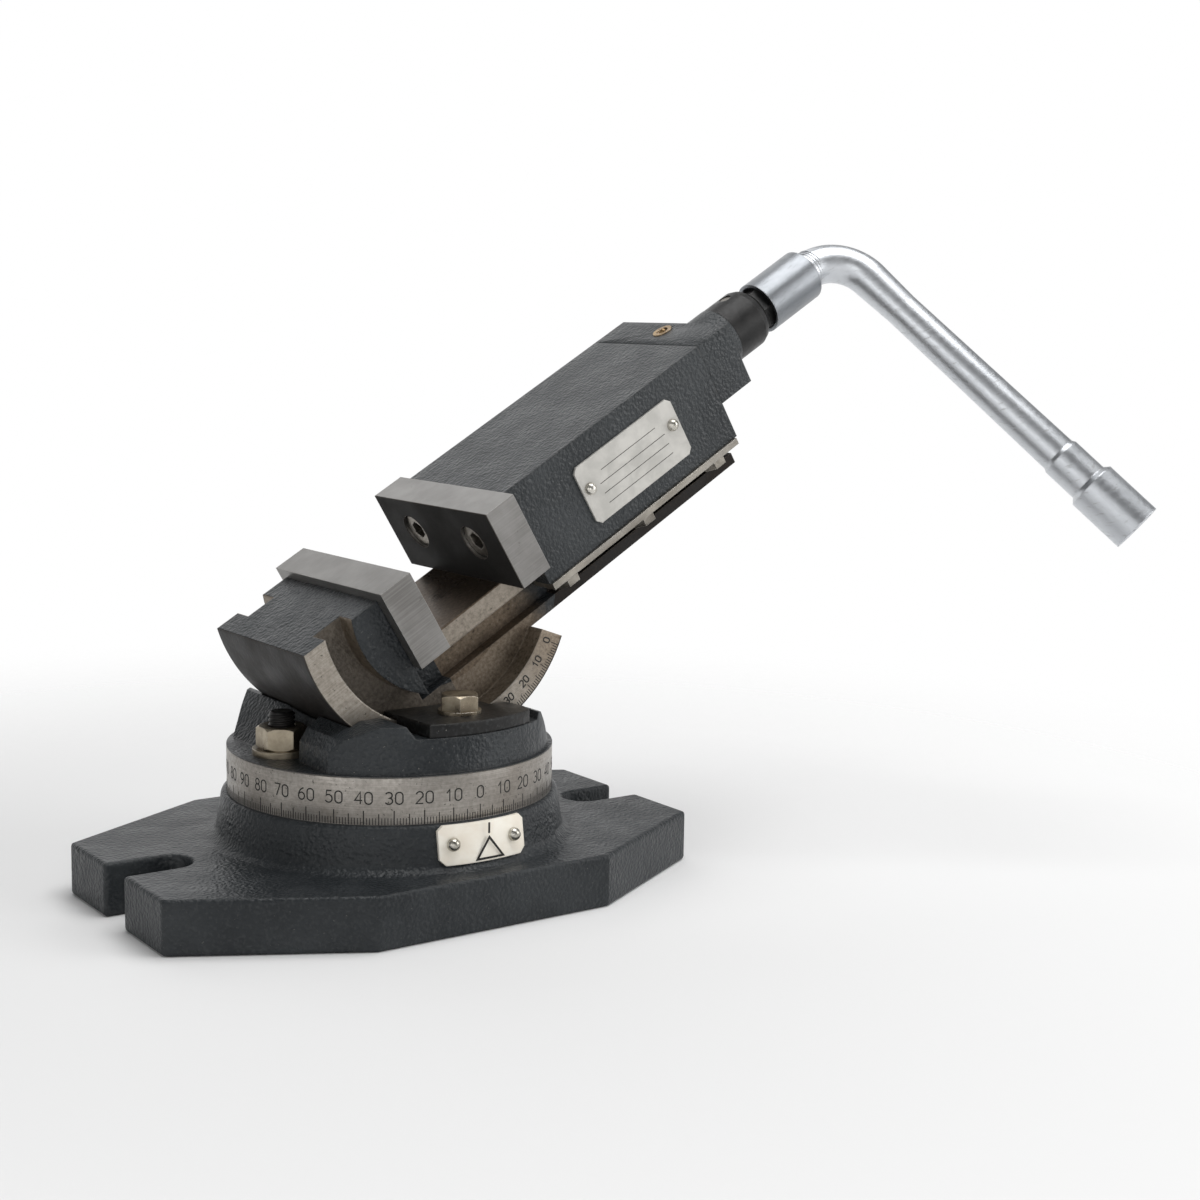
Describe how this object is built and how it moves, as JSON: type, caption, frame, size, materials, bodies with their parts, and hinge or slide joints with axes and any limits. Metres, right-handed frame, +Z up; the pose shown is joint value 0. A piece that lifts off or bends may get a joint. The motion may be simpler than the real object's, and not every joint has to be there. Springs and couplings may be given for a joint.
{
  "type": "two-axis machine vise",
  "caption": "Small machine vise whose bed tilts in a cradle on a graduated swivel base, with a sliding jaw and an angled socket wrench.",
  "frame": {"origin": "on the swivel axis at the underside of the base plate", "axes": "+Z up along the swivel axis, +X along the open base slots and towards the spindle end, -Y towards the index plate"},
  "size_m": [0.25, 0.1215, 0.1506],
  "materials": {
    "paint": "textured blue-grey enamel on castings",
    "machined": "bare machined, oiled",
    "ground": "fine ground",
    "black": "black oxide",
    "zinc": "yellowish plated fastener",
    "plate": "satin sheet",
    "brass": "turned",
    "chrome": "satin chrome"
  },
  "bodies": {
    "base": {"base_plate": "paint", "index_plate": "plate", "index_rivets": "plate"},
    "turntable": {"turntable": "paint", "swivel_pivot": "machined", "swivel_studs": "black", "swivel_washers": "zinc", "clamp_front": "paint", "clamp_back": "paint", "clamp_washer_front": "zinc", "clamp_washer_back": "zinc"},
    "left_nut": {"swivel_nut_left": "zinc"},
    "right_nut": {"swivel_nut_right": "zinc"},
    "front_bolt": {"clamp_bolt_front": "zinc"},
    "back_bolt": {"clamp_bolt_back": "zinc"},
    "vise": {"vise_bed": "paint", "fixed_jaw_plate": "ground", "fixed_jaw_screws": "black", "feed_nut": "brass", "feed_nut_screws": "black"},
    "moving_jaw": {"sliding_block": "paint", "moving_jaw_plate": "ground", "moving_jaw_screws": "black", "keeper_front": "machined", "keeper_back": "machined", "keeper_screws": "zinc", "end_bracket": "paint", "bracket_screws": "black", "oiler": "brass", "nameplate": "plate", "nameplate_rivets": "plate"},
    "screw": {"spindle": "machined", "thrust_washer": "brass", "inner_collar": "black", "outer_collar": "black", "collar_pin": "machined"},
    "wrench_body": {"wrench": "chrome"}
  },
  "joints": [
    {"name": "base_swivel", "type": "hinge", "parent": "base", "child": "turntable", "pos_m": [0, 0, 0.0222], "axis": [0, 0, 1], "continuous": true},
    {"name": "vise_tilt", "type": "hinge", "parent": "turntable", "child": "vise", "pos_m": [0, 0, 0.0694], "axis": [0, -1, 0], "range_deg": [-31.2, 58.8]},
    {"name": "jaw_slide", "type": "slide", "parent": "vise", "child": "moving_jaw", "axis": [0.8554, 0, 0.518], "range_m": [-0.022, 0.0125]},
    {"name": "spindle_turn", "type": "hinge", "parent": "moving_jaw", "child": "screw", "pos_m": [0.04748, 0, 0.09698], "axis": [0.8554, 0, 0.518], "range_deg": [-2640, 1500]},
    {"name": "wrench_pull", "type": "slide", "parent": "screw", "child": "wrench_body", "axis": [0.8554, 0, 0.518], "range_m": [0, 0.02]},
    {"name": "left_nut_turn", "type": "hinge", "parent": "turntable", "child": "left_nut", "pos_m": [-0.0278, 0, 0.0367], "axis": [0, 0, 1], "range_deg": [0, 180]},
    {"name": "right_nut_turn", "type": "hinge", "parent": "turntable", "child": "right_nut", "pos_m": [0.0278, 0, 0.0367], "axis": [0, 0, 1], "range_deg": [0, 180]},
    {"name": "front_bolt_turn", "type": "hinge", "parent": "turntable", "child": "front_bolt", "pos_m": [0.0024, -0.0264, 0.046], "axis": [0, 0, 1], "range_deg": [0, 180]},
    {"name": "back_bolt_turn", "type": "hinge", "parent": "turntable", "child": "back_bolt", "pos_m": [-0.0024, 0.0264, 0.046], "axis": [0, 0, 1], "range_deg": [0, 180]}
  ],
  "couplings": [
    {"joint": "jaw_slide", "follows": "spindle_turn", "m_per_rad": 0.00047746}
  ]
}
